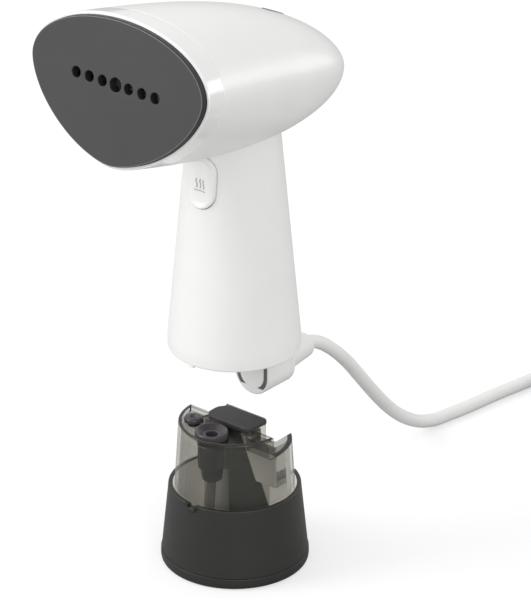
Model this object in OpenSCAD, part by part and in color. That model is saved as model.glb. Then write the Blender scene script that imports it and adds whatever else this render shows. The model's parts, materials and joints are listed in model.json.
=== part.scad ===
// Handheld garment steamer: a bullet-shaped head on a conical handle, with a
// water tank that pushes up into the handle from below. The tank stands on the
// surface and the handle is lifted clear of it, ready to dock.
// Millimetres, +Z up, steam plate towards -Y, origin at the centre of the tank's base.

/* [Tank] */
// Radius of the tank's foot
foot_r = 37.5; // [36:0.5:39]
// Radius of the smoked skirt at its rim
skirt_rim_r = 33.4; // [33:0.1:34]
// Height of the skirt's rim above the surface
skirt_h = 42.4; // [40:0.1:44]
// Height of the clear vessel's top above the surface
vessel_h = 77; // [76:0.5:78]
// Outer radius of the vessel at its top
vessel_top_r = 28.2; // [27.5:0.1:28.3]
// Wall of the vessel
vessel_wall = 1.8; // [1.4:0.1:2]

/* [Handle] */
// How far the tank travels to dock in the handle
dock_travel = 77.2; // [77:0.1:77.3]
// Radius of the handle at its lower edge
handle_r = 33.2; // [33:0.1:33.6]
// Radius that the handle loses per millimetre of height
handle_taper = 0.0925; // [0.09:0.0005:0.094]
// Wall of the handle
handle_wall = 2; // [1.8:0.1:2]

/* [Head] */
// Half the width of the steam plate
plate_half_w = 53.4; // [52:0.1:54]
// Height of the steam plate above its widest line
plate_up = 27.8; // [27:0.1:29]
// Depth of the steam plate below its widest line
plate_down = 43.1; // [42:0.1:44]
// Lean of the steam plate back from the vertical, in degrees
plate_lean = 10; // [8:0.5:12]
// Length of the head behind its front rim
head_len = 144; // [140:1:148]
// Width of the white rim round the steam plate
rim_w = 1.7; // [1.6:0.1:2]

/* [Steam holes] */
// Diameter of the middle steam hole
middle_hole_d = 7; // [6:0.5:8]
// Diameter of the other steam holes
side_hole_d = 5.4; // [4.5:0.1:6]
// Distance between neighbouring steam holes
hole_pitch = 8.2; // [8:0.1:9]

/* [Trigger] */
// Width of the trigger
trigger_w = 17.4; // [16:0.2:18]
// Height of the trigger
trigger_h = 27.4; // [26:0.2:28]
// How far the trigger travels inwards
trigger_travel = 2.5; // [2:0.1:2.6]

/* [Cord] */
// Diameter of the mains cord
cord_d = 7; // [6.5:0.1:7.2]
// Radius of the coil at the middle of its turns
coil_r = 42; // [40:0.5:42]

/* [Hidden] */
$fn = 96;

// Head frame: origin at the middle steam hole, +Y into the head, leaning with the plate.
hole_row = [0, -85.7, 287.7];
widest_z = 3.3;
plate_t = 4.6;
rim_y = 4;
collar_len = 13;
seam_gap = 0.15;
collar_wall = 1.3;
shell_wall = 2.2;
axis_drop = 7.5;
ring_sides = 48;
shell_rings = 16;
plate_sides = 72;

// Handle heights
handle_z = skirt_h + dock_travel + 0.3;
band_h = 6;
handle_top_z = 246;
lug_w = 3;
lug_h = 1;
bulkhead_z = 159;
core_z = bulkhead_z + 2.5;
outlet_xy = [0, -17.6];
vent_xy = [-18.2, -10.2];

// Dock tongue
tongue_w = 22.2;
tongue_front_y = 13.3;
tongue_rear_y = 34.6;
tongue_low_z = 86.4;
tongue_cover_t = 3;
boot_z = 98.5;
boot_len = 21;

// Tank
foot_band_h = 6;
floor_t = 3;
skirt_wall = 2.2;
vessel_r_at_rim = 30.3;
vessel_slope = (vessel_r_at_rim - vessel_top_r) / (vessel_h - skirt_h);
wing_z = 68;
wing_y = -1.2;
block_half_w = 12.8;
slot_half_w = 18.6;
slot_y = 9.3;
slot_low_z = 43.5;
channel_half_w = 11.7;
channel_y = 12.6;
channel_low_z = 8.4;
deck_z = 74.5;
filler_xy = [2, -1];
filler_r = 7.3;
cap_hinge_x = 15.5;

// Trigger, switch and pump
switch_rear_y = -4;
pump_z = core_z + 2;
hose_d = 6;
trigger_mid_z = 216.5;
trigger_rear_y = switch_rear_y - 10 - trigger_travel - 1.5;
trigger_proud = 1.3;
trigger_gap = 0.35;

// Cord route from the boot to the coil, then from the coil to the plug
lead_route = [
  [0, 55.5, 98.5], [0, 61, 97.5], [0, 67, 94.5], [0, 74, 89.5], [0, 82, 82.5], [-0.5, 91, 73.5],
  [-1.5, 100, 63.5], [-3, 110, 52.5], [-5, 121, 41], [-7.5, 132, 30.5], [-9.5, 143, 21],
  [-10.5, 154, 13], [-10.5, 165, 7], [-9.5, 176, 4], [-8, 187, 3.5], [-6, 198, 3.5],
  [-4.5, 210, 3.5], [-3, 222, 3.5], [-1, 234, 3.5], [1, 246, 3.5], [3, 258, 3.5],
  [4, 269, 3.5], [4.5, 280, 3.5]
];
coil_centre = [53.5, 280];
coil_columns = 3;
coil_layers = 2;
tail_route = [
  [53.5, 329, 10.5], [63, 329, 9], [73, 328.5, 6], [83, 327, 4], [92, 323, 3.5], [100, 317, 3.5],
  [106.5, 308.5, 3.5], [110.5, 298.5, 4.5], [112, 288, 7], [112, 278, 9.5], [112, 270, 10.8], [112, 262, 11]
];
plug_xyz = [112, 262, 11];
plug_relief_len = 22;
plug_body_len = 40;
plug_half_w = 18;
plug_half_h = 11;
pin_r = 2.4;
pin_len = 19;
pin_pitch = 19;

white = [0.93, 0.93, 0.92];
smoke = [0.2, 0.19, 0.17];
rubber_grey = [0.28, 0.27, 0.28];

// ---- Curves and surfaces ----

// A quarter of a superellipse: 1 at s = 0, falling to 0 at s = 1.
function bullet(s, power) = pow(max(0, 1 - pow(min(1, max(0, s)), power)), 1 / power);

// A gentle bulge or waist between s = 0 and s = 1.
function swell(s, amount) = 1 + amount * s * (1 - s);

// A point of the egg-shaped plate outline, as [across, up], at an angle.
function egg(angle, half_w, up, down, n_up = 2, n_down = 1.64) =
  let (c = cos(angle), s = sin(angle), n = s >= 0 ? n_up : n_down,
       k = pow(pow(abs(c), n) + pow(abs(s), n), -1 / n))
  [half_w * c * k, (s >= 0 ? up : down) * s * k];

function egg_outline(inset, sides = plate_sides) =
  [for (i = [0:sides - 1])
    egg(360 * i / sides, plate_half_w - inset, plate_up - inset, plate_down - inset) + [0, widest_z]];

// One ring of the head's skin at a depth, moved inwards by inset.
function head_ring(y, inset) =
  let (s = (y - rim_y) / (head_len - inset),
       half_w = (plate_half_w + rim_w - inset) * bullet(s, 2.75) * swell(s, -0.5),
       up = (plate_up + rim_w - inset) * bullet(s, 2.5) * swell(s, 0.26),
       down = (plate_down + rim_w - inset) * bullet(s, 2.3) * swell(s, 0.12),
       n_down = 1.64 + 0.36 * min(1, max(0, 1.5 * s)))
  [for (i = [0:ring_sides - 1])
    let (p = egg(360 * i / ring_sides, half_w, up, down, 2, n_down))
    [p[0], y, widest_z - axis_drop * max(0, s) + p[1]]];

// Faces of a stack of rings with flat ends; the rings run anticlockwise seen from the first end.
function stack_faces(rings, sides) = concat(
  [[for (i = [sides - 1:-1:0]) i]],
  [for (r = [0:rings - 2], i = [0:sides - 1])
    let (a = r * sides + i, b = r * sides + (i + 1) % sides)
    [a, b, b + sides, a + sides]],
  [[for (i = [0:sides - 1]) (rings - 1) * sides + i]]);

module head_solid(depths, inset) {
  rings = [for (y = depths) head_ring(y, inset)];
  polyhedron([for (ring = rings) each ring], stack_faces(len(depths), ring_sides), convexity = 4);
}

// Depths that crowd towards the head's tip.
function tip_depths(from, inset) =
  [for (i = [0:shell_rings])
    from + (rim_y + head_len - inset - from) * min(0.99999, sin(90 * i / shell_rings))];

function unit(v) = v / norm(v);

// Direction of a route at point i.
function heading(route, i) =
  unit(route[min(len(route) - 1, i + 1)] - route[max(0, i - 1)]);

// A round tube swept along a route that never runs along the direction given as side.
module swept_tube(route, d, sides = 10, side = [1, 0, 0]) {
  points = [for (i = [0:len(route) - 1])
    let (t = heading(route, i), u = unit(cross(t, side)), v = cross(u, t))
    for (k = [0:sides - 1]) route[i] + d / 2 * (u * cos(360 * k / sides) + v * sin(360 * k / sides))];
  polyhedron(points, stack_faces(len(route), sides), convexity = 6);
}

module in_head() {
  translate(hole_row) rotate([-plate_lean, 0, 0]) children();
}

// Extrudes a plate-plane outline from depth y0 to y1, in the head frame.
module slab(y0, y1) {
  translate([0, y1, 0]) rotate([90, 0, 0]) linear_extrude(y1 - y0) children();
}

// An upright capsule across the handle's front, from y0 to y1.
module capsule(w, h, y0, y1, mid_z) {
  for (side = [-1, 1])
    translate([0, y1, mid_z + side * (h - w) / 2]) rotate([90, 0, 0]) cylinder(r = w / 2, h = y1 - y0);
  translate([-w / 2, y0, mid_z - (h - w) / 2]) cube([w, y1 - y0, h - w]);
}

function handle_outer_r(z) = handle_r - handle_taper * max(0, z - handle_z - band_h);

function vessel_r(z) = vessel_top_r + vessel_slope * (vessel_h - z);

module vessel_cone(z0, z1, inset = 0) {
  translate([0, 0, z0]) cylinder(r1 = vessel_r(z0) - inset, r2 = vessel_r(z1) - inset, h = z1 - z0);
}

module handle_cone(z0, z1, inset) {
  translate([0, 0, z0])
    cylinder(r1 = handle_outer_r(z0) - inset, r2 = handle_outer_r(z1) - inset, h = z1 - z0);
}

// The inside of the handle from its lower edge up to top_z, with a gap to its wall.
module handle_bore(top_z, gap) {
  translate([0, 0, handle_z]) cylinder(r = handle_r - handle_wall - gap, h = band_h);
  handle_cone(handle_z + band_h, top_z, handle_wall + gap);
}

// ---- Head ----

module steam_plate() {
  color([0.36, 0.35, 0.355]) in_head() difference() {
    union() {
      slab(0.8, plate_t) polygon(egg_outline(0));
      slab(0, 0.8) polygon(egg_outline(0.6));
    }
    for (i = [-3:3])
      translate([i * hole_pitch, -1, 0]) rotate([-90, 0, 0])
        cylinder(d = i == 0 ? middle_hole_d : side_hole_d, h = plate_t + 2);
  }
}

module plate_gasket() {
  color([0.12, 0.12, 0.12]) in_head() slab(plate_t, plate_t + 2) difference() {
    polygon(egg_outline(2.2));
    polygon(egg_outline(6));
  }
}

module front_collar() {
  color(white) in_head() {
    difference() {
      head_solid([for (i = [0:4]) rim_y + collar_len * i / 4], 0);
      head_solid([for (i = [-1:5]) rim_y + collar_len * i / 4], collar_wall);
    }
    slab(plate_t + 2.1, plate_t + 4.1) difference() {
      polygon(egg_outline(-0.85));
      polygon(egg_outline(3.95));
    }
  }
}

module head_shell() {
  from = rim_y + collar_len + seam_gap;
  color(white) difference() {
    in_head() difference() {
      head_solid(tip_depths(from, 0), 0);
      head_solid(tip_depths(from - 1, shell_wall), shell_wall);
    }
    handle_cone(200, 262, -seam_gap);
    lens_column(0.15, 30);
  }
}

// The oval of the indicator lens, as an upright column.
module lens_column(gap, h) {
  for (side = [-1, 1]) translate([0, 29.5 + side * 3.5, 300 - h]) cylinder(r = 3 + gap, h = h);
  translate([-3 - gap, 26, 300 - h]) cube([6 + 2 * gap, 7, h]);
}

module indicator_lens() {
  color([0.75, 0.77, 0.8]) intersection() {
    lens_column(0, 30);
    in_head() difference() {
      head_solid(tip_depths(90, 0.25), 0.25);
      head_solid(tip_depths(85, 3), 3);
    }
  }
}

module indicator_board() {
  color([0.1, 0.35, 0.2]) translate([-9, 20, 270]) cube([18, 20, 1.6]);
  color([0.9, 0.9, 0.85]) translate([0, 29.5, 271.6]) cylinder(r = 2.4, h = 5);
}

module steam_chamber() {
  color([0.66, 0.67, 0.69]) in_head() difference() {
    union() {
      slab(plate_t + 2, 10) polygon(egg_outline(4));
      slab(10, 30) polygon(egg_outline(9));
    }
    slab(plate_t + 1, 20) polygon(egg_outline(14));
    translate([0, 15, -22]) rotate([-90, 0, 0]) cylinder(r = 2.5, h = 20);
  }
}

module chamber_cover() {
  color([0.6, 0.61, 0.63]) in_head() difference() {
    slab(30, 32.5) polygon(egg_outline(11));
    translate([0, 29, -22]) rotate([-90, 0, 0]) cylinder(r = 3.2, h = 6);
  }
}

// A U-shaped tubular heater clamped on the back of the chamber, with its two cold ends.
module heating_element() {
  rod_r = 3.2;
  bend_r = 12;
  color([0.5, 0.42, 0.36]) in_head() translate([0, 32.5 + rod_r, 6]) {
    intersection() {
      rotate([90, 0, 0]) rotate_extrude() translate([bend_r, 0]) circle(r = rod_r);
      translate([-30, -10, 0]) cube([60, 20, 30]);
    }
    for (side = [-1, 1]) translate([side * bend_r, 0, -20]) cylinder(r = rod_r, h = 20);
  }
  color("silver") in_head() for (side = [-1, 1])
    translate([side * 12, 32.5 + rod_r, -19]) cylinder(r = 1.2, h = 5);
}

module thermostat() {
  color([0.15, 0.13, 0.12]) in_head() translate([0, 32.5, 4]) rotate([-90, 0, 0]) cylinder(r = 7.5, h = 7);
  color("silver") in_head() for (side = [-1, 1]) translate([side * 4 - 1, 39.5, 1]) cube([2, 5, 6]);
}

module thermal_fuse() {
  color([0.85, 0.84, 0.78]) in_head() translate([-8, 35, -10]) rotate([0, 90, 0]) cylinder(r = 2.2, h = 16);
  color("silver") in_head() translate([-1, 32.5, -13]) cube([2, 0.8, 6]);
}

module heat_shield() {
  color([0.75, 0.74, 0.7]) in_head() slab(12, 40) difference() {
    polygon(egg_outline(7.5));
    polygon(egg_outline(8.1));
  }
}

module chamber_screws() {
  color("dimgray") in_head() for (side = [-1, 1], z = [-12, 14])
    translate([side * 28, 32.5, z]) rotate([-90, 0, 0]) {
      cylinder(r = 3, h = 2);
      translate([0, 0, 2]) cylinder(r1 = 2.4, r2 = 1.6, h = 0.6);
    }
}

module steam_hose() {
  route = [[0, 2, 206.6], [0, 2, 210], [0, 1.5, 219], [0, 0, 228], [0, -3, 238], [0, -9, 247],
           [0, -18, 254], [0, -28, 258], [0, -38, 259.4], [0, -47, 259.6], [0, -56.9, 260.3]];
  color([0.8, 0.8, 0.78, 0.7]) swept_tube(route, hose_d, 12);
}

// ---- Handle ----

module handle_sleeve() {
  top_r = handle_outer_r(handle_top_z);
  color(white) translate([-lug_w / 2, 0.2 - handle_r, handle_z - lug_h]) cube([lug_w, 1.4, lug_h + 0.5]);
  color(white) difference() {
    rotate_extrude() polygon([
      [handle_r - handle_wall, handle_z], [handle_r - 0.7, handle_z], [handle_r - 0.2, handle_z + 0.3],
      [handle_r, handle_z + 1.2], [handle_r, handle_z + band_h], [top_r, handle_top_z],
      [top_r - handle_wall, handle_top_z], [handle_r - handle_wall, handle_z + band_h]
    ]);
    capsule(trigger_w + 2 * trigger_gap, trigger_h + 2 * trigger_gap, -40, -10, trigger_mid_z);
  }
}

// Two upright rails tied by cross plates, with a back for the terminals and one for the switch.
module handle_core() {
  color([0.85, 0.85, 0.84]) difference() {
    intersection() {
      union() {
        for (side = [-1, 1]) translate([side * 15.5 - 1.5, -12, core_z]) cube([3, 26, 76]);
        for (z = [core_z, 206, 233]) translate([-17, -12, z]) cube([34, 26, 2]);
        translate([-14, 12.5, core_z]) cube([28, 1.5, 26]);
        translate([-14, switch_rear_y, 206]) cube([28, 1.2, 28]);
      }
      handle_cone(bulkhead_z, handle_top_z, handle_wall + 0.6);
    }
    translate([0, 0, core_z + 10]) cylinder(r = 6.5, h = 80);
    translate([-12, switch_rear_y - 10, 204]) cube([24, 10, 26]);
  }
}

module dock_bulkhead() {
  color(white) difference() {
    handle_cone(bulkhead_z, core_z, handle_wall + 0.05);
    translate([outlet_xy[0], outlet_xy[1], bulkhead_z - 1]) cylinder(r = 2.85, h = 5);
    translate([-12, 12.5, bulkhead_z - 1]) cube([24, 10, 5]);
  }
}

module inlet_spigot() {
  low_z = 150.5;
  color([0.8, 0.8, 0.8]) translate([outlet_xy[0], outlet_xy[1], 0]) difference() {
    union() {
      translate([0, 0, low_z]) cylinder(r = 2.8, h = core_z + 1 - low_z);
      translate([0, 0, core_z]) cylinder(r = 4.5, h = 1);
    }
    translate([0, 0, low_z - 1]) cylinder(r = 1.6, h = 20);
  }
}

// The tongue's U-shaped outline, from the bulkhead down to its round end.
module tongue_outline(inset = 0) {
  r = tongue_w / 2;
  translate([0, tongue_low_z + r]) circle(r = r - inset);
  translate([inset - r, tongue_low_z + r]) square([tongue_w - 2 * inset, bulkhead_z - tongue_low_z - r]);
}

module tongue_slit_outline(side) {
  intersection() {
    difference() {
      tongue_outline(1.4);
      tongue_outline(3.2);
    }
    translate([side > 0 ? 0 : -20, tongue_low_z + 5]) square([20, 27]);
  }
}

module dock_tongue() {
  cover_y = tongue_rear_y - tongue_cover_t;
  color(white) intersection() {
    difference() {
      slab(tongue_front_y, cover_y - seam_gap) tongue_outline();
      slab(tongue_front_y + 2, cover_y + 1) tongue_outline(2);
      slab(tongue_front_y - 1, tongue_front_y + 2.5)
        for (side = [-1, 1]) tongue_slit_outline(side);
    }
    union() {
      translate([-20, 0, 60]) cube([40, 60, handle_z - 60]);
      handle_bore(bulkhead_z, 0.1);
    }
  }
}

module tongue_rear_cover() {
  cover_y = tongue_rear_y - tongue_cover_t;
  color(white) difference() {
    intersection() {
      slab(cover_y, tongue_rear_y) tongue_outline();
      translate([-20, 0, 60]) cube([40, 60, handle_z - 60 - 0.3]);
    }
    translate([0, cover_y - 1, boot_z]) rotate([-90, 0, 0]) cylinder(r = 5.4, h = 6);
  }
}

module tongue_slit_inserts() {
  color([0.25, 0.25, 0.24]) slab(tongue_front_y + 0.5, tongue_front_y + 1.9)
    for (side = [-1, 1]) tongue_slit_outline(side);
}

module pump_body() {
  color([0.9, 0.9, 0.88]) translate([0, 0, pump_z]) difference() {
    union() {
      cylinder(r = 7, h = 40);
      translate([0, -6, 4]) rotate([90, 0, 0]) cylinder(r = 2.5, h = 4);
      translate([0, 2, 39]) cylinder(r = 3, h = 4);
    }
    translate([0, 0, 6]) cylinder(r = 4.4, h = 30);
  }
}

module pump_coil() {
  color([0.55, 0.3, 0.12]) translate([0, 0, pump_z + 9]) difference() {
    cylinder(r = 11, h = 20);
    translate([0, 0, -1]) cylinder(r = 7.05, h = 22);
  }
}

module pump_bracket() {
  color("silver") difference() {
    translate([-14, -9, pump_z + 7]) cube([28, 18, 24]);
    translate([-12.6, -10, pump_z + 8.4]) cube([25.2, 20, 21.2]);
    translate([0, 0, pump_z]) cylinder(r = 7.1, h = 36);
  }
}

module pump_piston() {
  color("silver") translate([0, 0, pump_z + 12]) cylinder(r = 4, h = 16);
}

module feed_hose() {
  route = [[0, -17.6, 162.5], [0, -17.6, 164], [0, -17, 165.6], [0, -15.4, 167],
           [0, -13, 167.5], [0, -10, 167.5]];
  color([0.8, 0.8, 0.78, 0.7]) swept_tube(route, 5, 12);
}

module microswitch() {
  front_y = switch_rear_y - 10;
  color([0.12, 0.12, 0.13]) difference() {
    translate([-10, front_y, 209]) cube([20, 10, 14]);
    translate([0, front_y - 1, trigger_mid_z]) rotate([-90, 0, 0]) cylinder(r = 1.8, h = 7);
  }
  color("gold") for (x = [-7, 0, 7]) translate([x - 1.6, front_y + 5, 205.5]) cube([3.2, 0.6, 4]);
}

module switch_plunger() {
  color("firebrick") translate([0, -16.2, trigger_mid_z]) rotate([-90, 0, 0]) cylinder(r = 1.5, h = 4);
}

module trigger() {
  color(white) difference() {
    union() {
      intersection() {
        capsule(trigger_w, trigger_h, -40, trigger_rear_y - 1.5, trigger_mid_z);
        handle_cone(190, 240, -trigger_proud);
      }
      intersection() {
        capsule(trigger_w + 3, trigger_h + 3, trigger_rear_y - 5, trigger_rear_y, trigger_mid_z);
        handle_cone(190, 240, handle_wall + 0.4);
      }
    }
    capsule(trigger_w - 4, trigger_h - 4, trigger_rear_y - 3, -10, trigger_mid_z);
  }
  color(white) translate([0, -16.4, trigger_mid_z]) rotate([90, 0, 0]) cylinder(r = 1.4, h = 5.4);
}

module trigger_spring() {
  turns = 4;
  steps = 12;
  coil_d = 5.6;
  route = [for (i = [0:turns * steps])
    let (a = 360 * i / steps)
    [coil_d / 2 * cos(a), -20.7 + 3.4 * i / (turns * steps), trigger_mid_z + coil_d / 2 * sin(a)]];
  color("silver") swept_tube(route, 0.5, 6, [0, 1, 0]);
}

module terminal_block() {
  color([0.9, 0.9, 0.86]) difference() {
    translate([-9, 14, 172]) cube([18, 7, 12]);
    for (x = [-5, 5]) translate([x, 30, 178]) rotate([90, 0, 0]) cylinder(r = 1.8, h = 12);
  }
}

// Two cores from the cord to the terminals, and two on to the heater.
module wire_loom() {
  for (side = [-1, 1]) color(side > 0 ? "saddlebrown" : "royalblue") {
    x = side * 4;
    swept_tube([[x, 17.5, 184], [x, 17.5, 204], [x, 17, 228], [x, 16.5, 240], [x, 9, 253],
                [x, -8, 264], [x, -26, 270], [side * 5, -36, 269.5], [side * 8, -45, 267],
                [side * 11.4, -51.4, 262.5]], 2.4, 8);
    translate([x, 17.5, 106]) cylinder(r = 1.2, h = 66);
  }
}

module cord_clamp() {
  color([0.2, 0.2, 0.2]) difference() {
    translate([-7.4, 23.9, boot_z - 4.5]) cube([14.8, 6, 10.5]);
    translate([0, 20, boot_z]) rotate([-90, 0, 0]) cylinder(d = cord_d + 0.2, h = 12);
  }
}

module chassis_screws() {
  color("dimgray") for (x = [-11, 11], y = [-9, 9]) translate([x, y, core_z + 2])
    cylinder(r = 2.2, h = 1.6);
}

// ---- Cord ----

module cord_boot() {
  color(white) difference() {
    union() {
      translate([0, tongue_rear_y, boot_z]) rotate([-90, 0, 0]) cylinder(r1 = 8.4, r2 = 6.4, h = boot_len);
      translate([0, tongue_rear_y - tongue_cover_t - 1.5, boot_z]) rotate([-90, 0, 0])
        cylinder(r = 5.2, h = tongue_cover_t + 1.6);
    }
    translate([0, 20, boot_z]) rotate([-90, 0, 0]) cylinder(d = cord_d + 0.1, h = 60);
  }
}

module cord_lead() {
  inner_end = [[0, 31, boot_z], [0, 40, boot_z], [0, 48, boot_z]];
  color([0.9, 0.9, 0.89]) swept_tube(concat(inner_end, lead_route), cord_d);
}

module cord_coil() {
  half_w = coil_columns * cord_d / 2;
  color([0.9, 0.9, 0.89]) translate([coil_centre[0], coil_centre[1], 0]) rotate_extrude()
    translate([coil_r - half_w, 0]) square([2 * half_w, coil_layers * cord_d]);
}

module cord_tail() {
  inner_end = [[112, 255, 11]];
  color([0.9, 0.9, 0.89]) swept_tube(concat(tail_route, inner_end), cord_d, side = [0, 0, 1]);
}

module cord_tie() {
  half_w = coil_columns * cord_d / 2 + 0.3;
  color([0.15, 0.15, 0.15]) translate([coil_centre[0] + coil_r, coil_centre[1], 0]) difference() {
    translate([-half_w - 1, -3, 0]) cube([2 * half_w + 2, 6, coil_layers * cord_d + 1.2]);
    translate([-half_w, -4, -1]) cube([2 * half_w, 8, coil_layers * cord_d + 1.1]);
  }
}

module plug_relief() {
  color(white) translate(plug_xyz) difference() {
    rotate([90, 0, 0]) cylinder(r1 = 4.6, r2 = 6.4, h = plug_relief_len);
    translate([0, 1, 0]) rotate([90, 0, 0]) cylinder(d = cord_d + 0.1, h = 12);
  }
}

module plug_body() {
  color(white) translate(plug_xyz - [0, plug_relief_len, 0]) rotate([90, 0, 0])
    intersection() {
      linear_extrude(plug_body_len) difference() {
        square([2 * plug_half_w, 2 * plug_half_h], center = true);
        for (x = [-1, 1], y = [-1, 1]) translate([x * plug_half_w, y * plug_half_h])
          rotate(45) square(6, center = true);
      }
      translate([0, 0, plug_body_len - 2]) rotate([90, 0, 0]) translate([0, 0, -20])
        cylinder(r = 38.5, h = 40);
    }
}

module plug_pins() {
  face_y = plug_xyz[1] - plug_relief_len - plug_body_len;
  color("silver") for (side = [-1, 1])
    translate([plug_xyz[0] + side * pin_pitch / 2, face_y, plug_xyz[2]]) rotate([90, 0, 0]) {
      cylinder(r = pin_r, h = pin_len - 1);
      translate([0, 0, pin_len - 1]) cylinder(r1 = pin_r, r2 = pin_r - 0.8, h = 1);
    }
}

// ---- Tank ----

module tank_base() {
  color(smoke) rotate_extrude() polygon([
    [0, 0], [foot_r - 1.2, 0], [foot_r - 0.3, 0.8], [foot_r, 2.6], [foot_r - 0.1, foot_band_h],
    [foot_r - skirt_wall - 1, foot_band_h], [foot_r - skirt_wall - 1, floor_t], [0, floor_t]
  ]);
}

// The skirt, with a thumb tab and a notch at the front for the handle's lug.
module tank_skirt() {
  color(smoke) difference() {
    union() {
      rotate_extrude() polygon([
        [foot_r - skirt_wall, foot_band_h], [foot_r - 0.4, foot_band_h],
        [foot_r - 0.4, foot_band_h + 0.6], [skirt_rim_r, skirt_h - 0.5], [skirt_rim_r - 0.4, skirt_h],
        [skirt_rim_r - skirt_wall, skirt_h]
      ]);
      translate([0, 1 - skirt_rim_r, skirt_h - 0.6]) rotate([90, 0, 0]) cylinder(r = 3.4, h = 2.2);
    }
    translate([-10, -40, skirt_h]) cube([20, 20, 10]);
    translate([-lug_w / 2 - 0.4, -40, skirt_h - lug_h - 0.3]) cube([lug_w + 0.8, 20, 5]);
    skirt_notch();
  }
}

// The U-shaped notch at the back of the skirt, wider at its mouth.
module skirt_notch() {
  low_r = channel_half_w + 0.3;
  slab(20, 50) {
    translate([0, channel_low_z + low_r]) circle(r = low_r);
    polygon([[-low_r, channel_low_z + low_r], [low_r, channel_low_z + low_r], [17, 60], [-17, 60]]);
  }
}

// The channel that the dock tongue slides down, and the wide slot above it.
module rear_slots(grow) {
  r = channel_half_w + grow;
  slab(channel_y - grow, 50) {
    translate([0, channel_low_z + channel_half_w]) circle(r = r);
    translate([-r, channel_low_z + channel_half_w]) square([2 * r, 70]);
  }
  translate([-slot_half_w - grow, slot_y - grow, slot_low_z - grow])
    cube([2 * (slot_half_w + grow), 40, 60]);
}

// What is cut away above the wings, leaving the middle block.
module wing_cut(grow) {
  for (side = [-1, 1])
    translate([side > 0 ? block_half_w - grow : -60 + grow, wing_y - grow, wing_z - grow])
      cube([60 - block_half_w, 60, 40]);
}

module tank_vessel() {
  wall = vessel_wall;
  color([0.42, 0.41, 0.39, 0.5]) difference() {
    vessel_cone(floor_t, vessel_h);
    rear_slots(0);
    wing_cut(0);
    difference() {
      vessel_cone(floor_t - 1, deck_z - wall, wall);
      rear_slots(wall);
      wing_cut(wall);
    }
    difference() {
      intersection() {
        vessel_cone(deck_z, vessel_h + 1, wall);
        translate([-40, -40, deck_z]) cube([80, 37, 10]);
      }
      translate([-12.8, -8.6, deck_z - 1]) cube([30.3, 20, 10]);
    }
    translate([filler_xy[0], filler_xy[1], 60]) cylinder(r = filler_r, h = 30);
    translate([outlet_xy[0], outlet_xy[1], 60]) cylinder(r = 7.2, h = 30);
    translate([vent_xy[0], vent_xy[1], 60]) cylinder(r = 2.9, h = 30);
  }
}

module outlet_seal() {
  color(rubber_grey) translate([outlet_xy[0], outlet_xy[1], deck_z]) rotate_extrude() polygon([
    [3.1, 0], [8.3, 0], [8.6, 1], [8.4, 3.6], [7.9, 4], [7.4, 3.8], [4.2, 1.8], [3.1, 1.5]
  ]);
}

module outlet_housing() {
  color([0.24, 0.23, 0.21, 0.8]) translate([outlet_xy[0], outlet_xy[1], 0]) difference() {
    union() {
      translate([0, 0, 57]) cylinder(r = 7.1, h = deck_z - 57);
      translate([0, 0, 51]) cylinder(r = 5.6, h = 6.5);
    }
    translate([0, 0, 50]) cylinder(r = 2.5, h = 6);
    translate([0, 0, 55.9]) cylinder(r = 3.1, h = 20);
  }
}

module suction_tube() {
  color([0.3, 0.3, 0.28]) translate([outlet_xy[0], outlet_xy[1], 8]) difference() {
    cylinder(r = 2.45, h = 47.9);
    translate([0, 0, -1]) cylinder(r = 1.4, h = 50);
  }
}

module inlet_filter() {
  color([0.35, 0.35, 0.33]) translate([outlet_xy[0], outlet_xy[1], floor_t]) difference() {
    cylinder(r = 4.4, h = 8);
    translate([0, 0, 5]) cylinder(r = 2.5, h = 4);
    for (a = [0:60:150]) rotate(a) translate([-5, -0.6, 1]) cube([10, 1.2, 2.5]);
  }
}

module vent_seal() {
  color(rubber_grey) translate([vent_xy[0], vent_xy[1], deck_z - 2.2]) rotate_extrude() polygon([
    [1, 0], [2.8, 0], [2.8, 2.2], [5, 2.2], [4.6, 4.4], [3.6, 5], [1.4, 4.7], [1, 4.4]
  ]);
}

module filler_cap() {
  color(rubber_grey) {
    difference() {
      union() {
        translate([-9.5, -8, vessel_h + 0.05]) cube([cap_hinge_x + 9.5, 15.4, 2.4]);
        translate([-6.6, -2.6, vessel_h + 0.05]) cylinder(r = 7.4, h = 2.4);
      }
      translate([-20, 7.4, vessel_h - 1]) cube([50, 10, 8]);
    }
    translate([filler_xy[0], filler_xy[1], vessel_h - 4]) difference() {
      cylinder(r1 = 6.1, r2 = 6.5, h = 4.1);
      translate([0, 0, -1]) cylinder(r = 4.8, h = 4);
    }
  }
}

steam_plate();
plate_gasket();
front_collar();
head_shell();
indicator_lens();
indicator_board();
steam_chamber();
chamber_cover();
heating_element();
thermostat();
thermal_fuse();
heat_shield();
chamber_screws();
steam_hose();
handle_sleeve();
handle_core();
dock_bulkhead();
inlet_spigot();
dock_tongue();
tongue_rear_cover();
tongue_slit_inserts();
pump_body();
pump_coil();
pump_bracket();
pump_piston();
feed_hose();
microswitch();
switch_plunger();
trigger();
trigger_spring();
terminal_block();
wire_loom();
cord_clamp();
chassis_screws();
cord_boot();
cord_lead();
cord_coil();
cord_tail();
cord_tie();
plug_relief();
plug_body();
plug_pins();
tank_base();
tank_skirt();
tank_vessel();
outlet_seal();
outlet_housing();
suction_tube();
inlet_filter();
vent_seal();
filler_cap();
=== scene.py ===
import json
import math

import bmesh
import bpy
from mathutils import Matrix, Vector


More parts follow.
